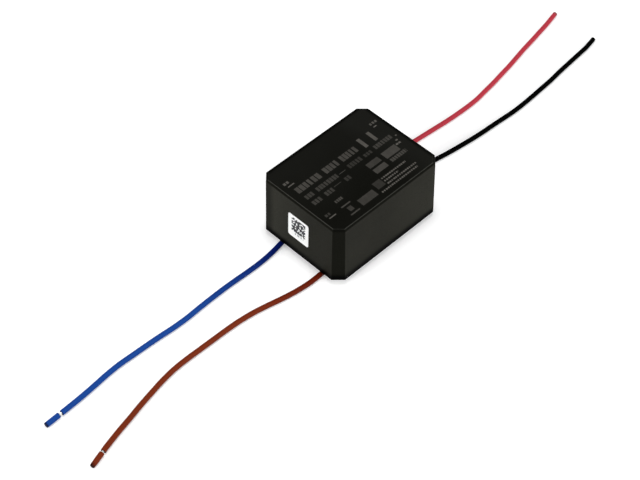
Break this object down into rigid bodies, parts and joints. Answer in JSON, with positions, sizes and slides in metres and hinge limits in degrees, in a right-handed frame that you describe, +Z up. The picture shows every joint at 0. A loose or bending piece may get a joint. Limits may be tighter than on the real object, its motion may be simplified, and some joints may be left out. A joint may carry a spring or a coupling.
{
  "type": "encapsulated power supply",
  "caption": "Potted ac-dc power supply: drafted black box with cut corners, mains leads at one end and dc leads at the other, lying on a surface.",
  "frame": {"origin": "under the middle of the case, on the surface that the leads lie on", "axes": "+X along the case from the mains end to the dc end, +Y across it towards the positive lead, +Z up out of the top face"},
  "size_m": [0.2804, 0.041, 0.0283],
  "materials": {
    "case_plastic": "matt moulded black plastic",
    "resin": "black potting resin",
    "label": "white label stock",
    "board": "green solder mask",
    "solder": "tinned metal",
    "fuse_body": "dark moulded plastic",
    "varistor_coat": "blue epoxy coat",
    "film_box": "yellow plastic box",
    "thermistor_coat": "dark coat",
    "chip_body": "moulded package",
    "bobbin_plastic": "moulded plastic",
    "ferrite": "ground ferrite",
    "copper": "enamelled copper wire",
    "can_sleeve": "shrunk sleeve",
    "winding_tape": "yellow tape",
    "disc_coat": "blue epoxy coat",
    "opto_body": "pale moulded package",
    "ceramic": "ceramic",
    "tinned_strands": "tinned strands",
    "blue_insulation": "smooth lead insulation",
    "brown_insulation": "smooth lead insulation",
    "red_insulation": "smooth lead insulation",
    "black_insulation": "smooth lead insulation"
  },
  "bodies": {
    "root": {"case": "case_plastic", "resin": "resin", "end_label": "label", "circuit_board": "board", "solder_joints": "solder", "fuse": "fuse_body", "varistor": "varistor_coat", "film_capacitor": "film_box", "inrush_thermistor": "thermistor_coat", "bridge_rectifier": "chip_body", "choke_base": "bobbin_plastic", "choke_core": "ferrite", "choke_winding_a": "copper", "choke_winding_b": "copper", "bulk_capacitor": "can_sleeve", "transformer_bobbin": "bobbin_plastic", "transformer_pins": "solder", "transformer_winding": "winding_tape", "transformer_core_lower": "ferrite", "transformer_core_upper": "ferrite", "output_capacitor": "can_sleeve", "output_rectifier": "chip_body", "bridging_capacitor": "disc_coat", "power_transistor": "chip_body", "controller_chip": "chip_body", "optocoupler": "opto_body", "output_inductor": "ferrite", "chip_resistors": "chip_body", "chip_capacitors": "ceramic", "lead_conductors": "tinned_strands", "neutral_lead_root": "blue_insulation", "line_lead_root": "brown_insulation", "positive_lead_root": "red_insulation", "negative_lead_root": "black_insulation", "neutral_lead": "blue_insulation", "line_lead": "brown_insulation", "positive_lead": "red_insulation", "negative_lead": "black_insulation", "neutral_lead_strands": "tinned_strands", "line_lead_strands": "tinned_strands", "neutral_lead_slug": "blue_insulation", "line_lead_slug": "brown_insulation"}
  },
  "joints": []
}
